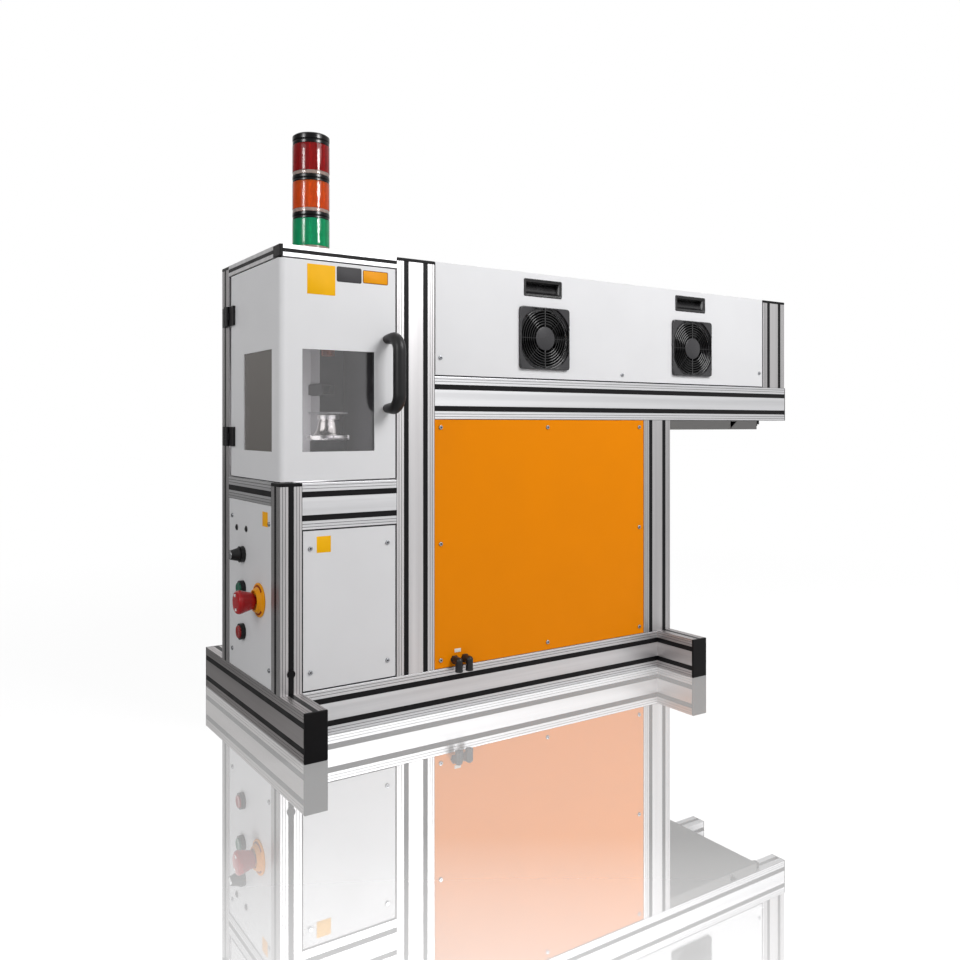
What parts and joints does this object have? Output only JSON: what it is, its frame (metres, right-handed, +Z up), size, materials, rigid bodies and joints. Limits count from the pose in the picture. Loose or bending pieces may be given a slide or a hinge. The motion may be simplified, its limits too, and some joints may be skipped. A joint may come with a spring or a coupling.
{
  "type": "lens engraver",
  "caption": "Floor-standing lens engraver: slotted-rail frame, windowed engraving chamber with a turning lens chuck, overhanging laser housing with fans, signal tower and side controls.",
  "frame": {"origin": "on the floor, under the middle of the machine's outer box", "axes": "+X along the laser housing towards its overhanging end, +Z up, +Y to the rear; the operator stands at -Y and the side controls face -X"},
  "size_m": [1.35, 0.508, 1.081],
  "materials": {
    "anodised_rail": "satin anodised extrusion with fine lengthwise grooves",
    "black_strip": "extruded cover strip",
    "black_moulding": "fine moulded grain",
    "white_coat": "fine textured powder coat",
    "orange_coat": "fine textured powder coat",
    "grey_coat": "smooth powder coat",
    "pale_liner": "smooth powder coat",
    "zinc_plate": "bright zinc plate",
    "smoked_pane": "smoked acrylic sheet",
    "black_coat": "satin black powder coat",
    "steel_plunger": "ground steel",
    "green_plastic": "moulded, glossy",
    "red_plastic": "moulded, glossy",
    "yellow_plastic": "moulded, glossy",
    "black_plastic": "glass-filled moulding",
    "green_lens": "translucent moulding",
    "amber_lens": "translucent moulding",
    "red_lens": "translucent moulding",
    "dark_cast": "blackened casting",
    "polished_steel": "polished",
    "blank_glass": "polished lens blank",
    "black_anodised": "black anodised, fins milled",
    "orange_anodised": "anodised lens barrel",
    "mirror_coat": "coated mirror"
  },
  "bodies": {
    "machine": {"foot_rails": "anodised_rail", "base_rails": "anodised_rail", "left_posts": "anodised_rail", "tall_posts": "anodised_rail", "outer_posts": "anodised_rail", "main_beams": "anodised_rail", "front_mid_rail": "anodised_rail", "cross_rails": "anodised_rail", "top_frame_rails": "anodised_rail", "slot_strips": "black_strip", "profile_caps": "black_moulding", "control_bezels": "black_moulding", "indicator_lamps": "black_moulding", "hood_grips": "black_moulding", "fan_guards": "black_moulding", "mains_inlet": "black_moulding", "signal_base": "black_moulding", "signal_collars": "black_moulding", "lower_front_panel": "white_coat", "hood_front_panel": "white_coat", "hood_covers": "white_coat", "control_panel": "white_coat", "closing_panels": "white_coat", "tower_top_plate": "white_coat", "orange_panel": "orange_coat", "underside_tray": "grey_coat", "power_supply": "grey_coat", "control_computer": "grey_coat", "chamber_liner": "pale_liner", "mounting_plates": "zinc_plate", "panel_lugs": "zinc_plate", "panel_screws": "zinc_plate", "post_hinge_leaves": "black_coat", "estop_plate": "yellow_plastic", "fan_housings": "black_plastic", "extraction_duct": "black_plastic", "air_fittings": "black_plastic", "green_lens": "green_lens", "amber_lens": "amber_lens", "red_lens": "red_lens", "chuck_base": "dark_cast", "scan_head": "black_anodised", "laser_unit": "black_anodised", "scan_lens": "orange_anodised"},
    "door": {"door_shell": "white_coat", "door_windows": "smoked_pane", "door_handle": "black_coat", "door_hinge_leaves": "black_coat"},
    "estop_plunger": {"estop_stem": "steel_plunger"},
    "estop_knob": {"estop_head": "red_plastic"},
    "key_switch": {"key_rotor": "steel_plunger"},
    "green_push": {"green_button": "green_plastic"},
    "red_push": {"red_button": "red_plastic"},
    "left_fan": {"left_fan_rotor": "black_plastic"},
    "right_fan": {"right_fan_rotor": "black_plastic"},
    "chuck_lift": {"chuck_spindle": "steel_plunger"},
    "chuck_turn": {"chuck_head": "polished_steel", "lens_blank": "blank_glass"},
    "mirror_x": {"galvo_mirror_x": "mirror_coat"},
    "mirror_y": {"galvo_mirror_y": "mirror_coat"}
  },
  "joints": [
    {"name": "door_hinge", "type": "hinge", "parent": "machine", "child": "door", "pos_m": [-0.639, 0.102, 0.623], "axis": [0, 0, -1], "range_deg": [0, 110]},
    {"name": "estop_push", "type": "slide", "parent": "machine", "child": "estop_plunger", "axis": [1, 0, 0], "range_m": [0, 0.005], "stiffness_N_per_m": 1500},
    {"name": "estop_twist", "type": "hinge", "parent": "estop_plunger", "child": "estop_knob", "pos_m": [-0.66, -0.0506, 0.225], "axis": [1, 0, 0], "range_deg": [0, 45], "stiffness_Nm_per_rad": 0.05},
    {"name": "key_turn", "type": "hinge", "parent": "machine", "child": "key_switch", "pos_m": [-0.65, 0.032, 0.2956], "axis": [1, 0, 0], "range_deg": [0, 60]},
    {"name": "green_press", "type": "slide", "parent": "machine", "child": "green_push", "axis": [1, 0, 0], "range_m": [0, 0.003], "stiffness_N_per_m": 700},
    {"name": "red_press", "type": "slide", "parent": "machine", "child": "red_push", "axis": [1, 0, 0], "range_m": [0, 0.003], "stiffness_N_per_m": 700},
    {"name": "left_fan_spin", "type": "hinge", "parent": "machine", "child": "left_fan", "pos_m": [-0.077, -0.13, 0.704], "axis": [0, 1, 0], "continuous": true},
    {"name": "right_fan_spin", "type": "hinge", "parent": "machine", "child": "right_fan", "pos_m": [0.345, -0.13, 0.704], "axis": [0, 1, 0], "continuous": true},
    {"name": "chuck_rise", "type": "slide", "parent": "machine", "child": "chuck_lift", "axis": [0, 0, 1], "range_m": [0, 0.02]},
    {"name": "chuck_spin", "type": "hinge", "parent": "chuck_lift", "child": "chuck_turn", "pos_m": [-0.496, -0.04, 0.52], "axis": [0, 0, 1], "continuous": true},
    {"name": "mirror_x_swing", "type": "hinge", "parent": "machine", "child": "mirror_x", "pos_m": [-0.496, 0, 0.745], "axis": [0, 0, 1], "range_deg": [-12, 12]},
    {"name": "mirror_y_swing", "type": "hinge", "parent": "machine", "child": "mirror_y", "pos_m": [-0.496, -0.04, 0.745], "axis": [1, 0, 0], "range_deg": [-12, 12]}
  ]
}
